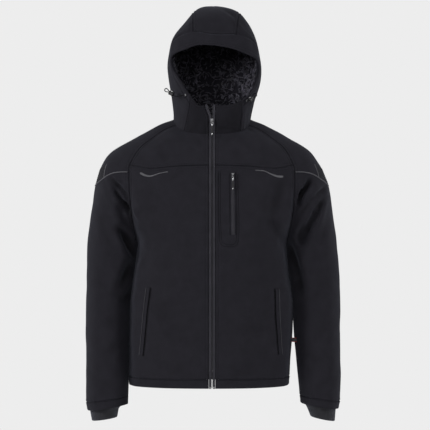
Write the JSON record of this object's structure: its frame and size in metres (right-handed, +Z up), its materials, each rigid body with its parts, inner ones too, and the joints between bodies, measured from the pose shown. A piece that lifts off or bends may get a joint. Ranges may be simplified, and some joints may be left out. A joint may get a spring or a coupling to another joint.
{
  "type": "hooded softshell jacket",
  "caption": "Padded softshell jacket with raglan sleeves, lined hood, full front zip, chest pocket zip, hand pockets and knitted inner cuffs, filled out as worn.",
  "frame": {"origin": "middle of the neck base, where the wearer's shoulders and neck carry the jacket", "axes": "+Z up, the front faces -Y, +X is the wearer's left"},
  "size_m": [0.7113, 0.2726, 1.1536],
  "materials": {
    "shell": "matt softshell, slightly bluish black",
    "lining": "black plush",
    "rib": "ribbed knit",
    "piping": "grey piping tape with a slight sheen",
    "zip_tape": "woven zip tape",
    "zip_metal": "polished zip metal",
    "dark_plastic": "black moulded plastic",
    "cord": "round elastic cord",
    "label": "plain dark red tape"
  },
  "bodies": {
    "jacket": {"back_panel": "shell", "chest_piping_left": "piping", "chest_piping_right": "piping", "chest_zip": "zip_tape", "chest_zip_slider": "zip_metal", "collar_left": "shell", "collar_right": "shell", "cord_lock_left": "dark_plastic", "cord_lock_right": "dark_plastic", "front_left": "shell", "front_right": "shell", "hem_back": "shell", "hem_left": "shell", "hem_right": "shell", "hood_brim": "shell", "hood_centre": "shell", "hood_cord_left": "cord", "hood_cord_right": "cord", "hood_lining": "lining", "hood_side_left": "shell", "hood_side_right": "shell", "inner_cuff_left": "rib", "inner_cuff_right": "rib", "pocket_piping_left": "piping", "pocket_piping_right": "piping", "pocket_welt_left": "shell", "pocket_welt_right": "shell", "shoulder_left": "shell", "shoulder_right": "shell", "side_label": "label", "sleeve_hem_left": "shell", "sleeve_hem_right": "shell", "sleeve_left": "shell", "sleeve_piping_left": "piping", "sleeve_piping_right": "piping", "sleeve_right": "shell", "yoke_back": "shell", "yoke_left": "shell", "yoke_right": "shell", "zip_coil": "zip_tape", "zip_slider": "zip_metal", "zip_tape_left": "zip_tape", "zip_tape_right": "zip_tape"},
    "front_pull": {"zip_pull": "zip_metal", "zip_pull_tab": "dark_plastic"},
    "chest_pull": {"chest_zip_pull": "zip_metal", "chest_zip_pull_tab": "dark_plastic"}
  },
  "joints": [
    {"name": "front_pull_hinge", "type": "hinge", "parent": "jacket", "child": "front_pull", "pos_m": [0, -0.09882, 0.0013], "axis": [1, 0, 0], "range_deg": [-120, 0]},
    {"name": "chest_pull_hinge", "type": "hinge", "parent": "jacket", "child": "chest_pull", "pos_m": [0.0568, -0.13256, -0.1477], "axis": [1, 0, 0], "range_deg": [-120, 0]}
  ]
}
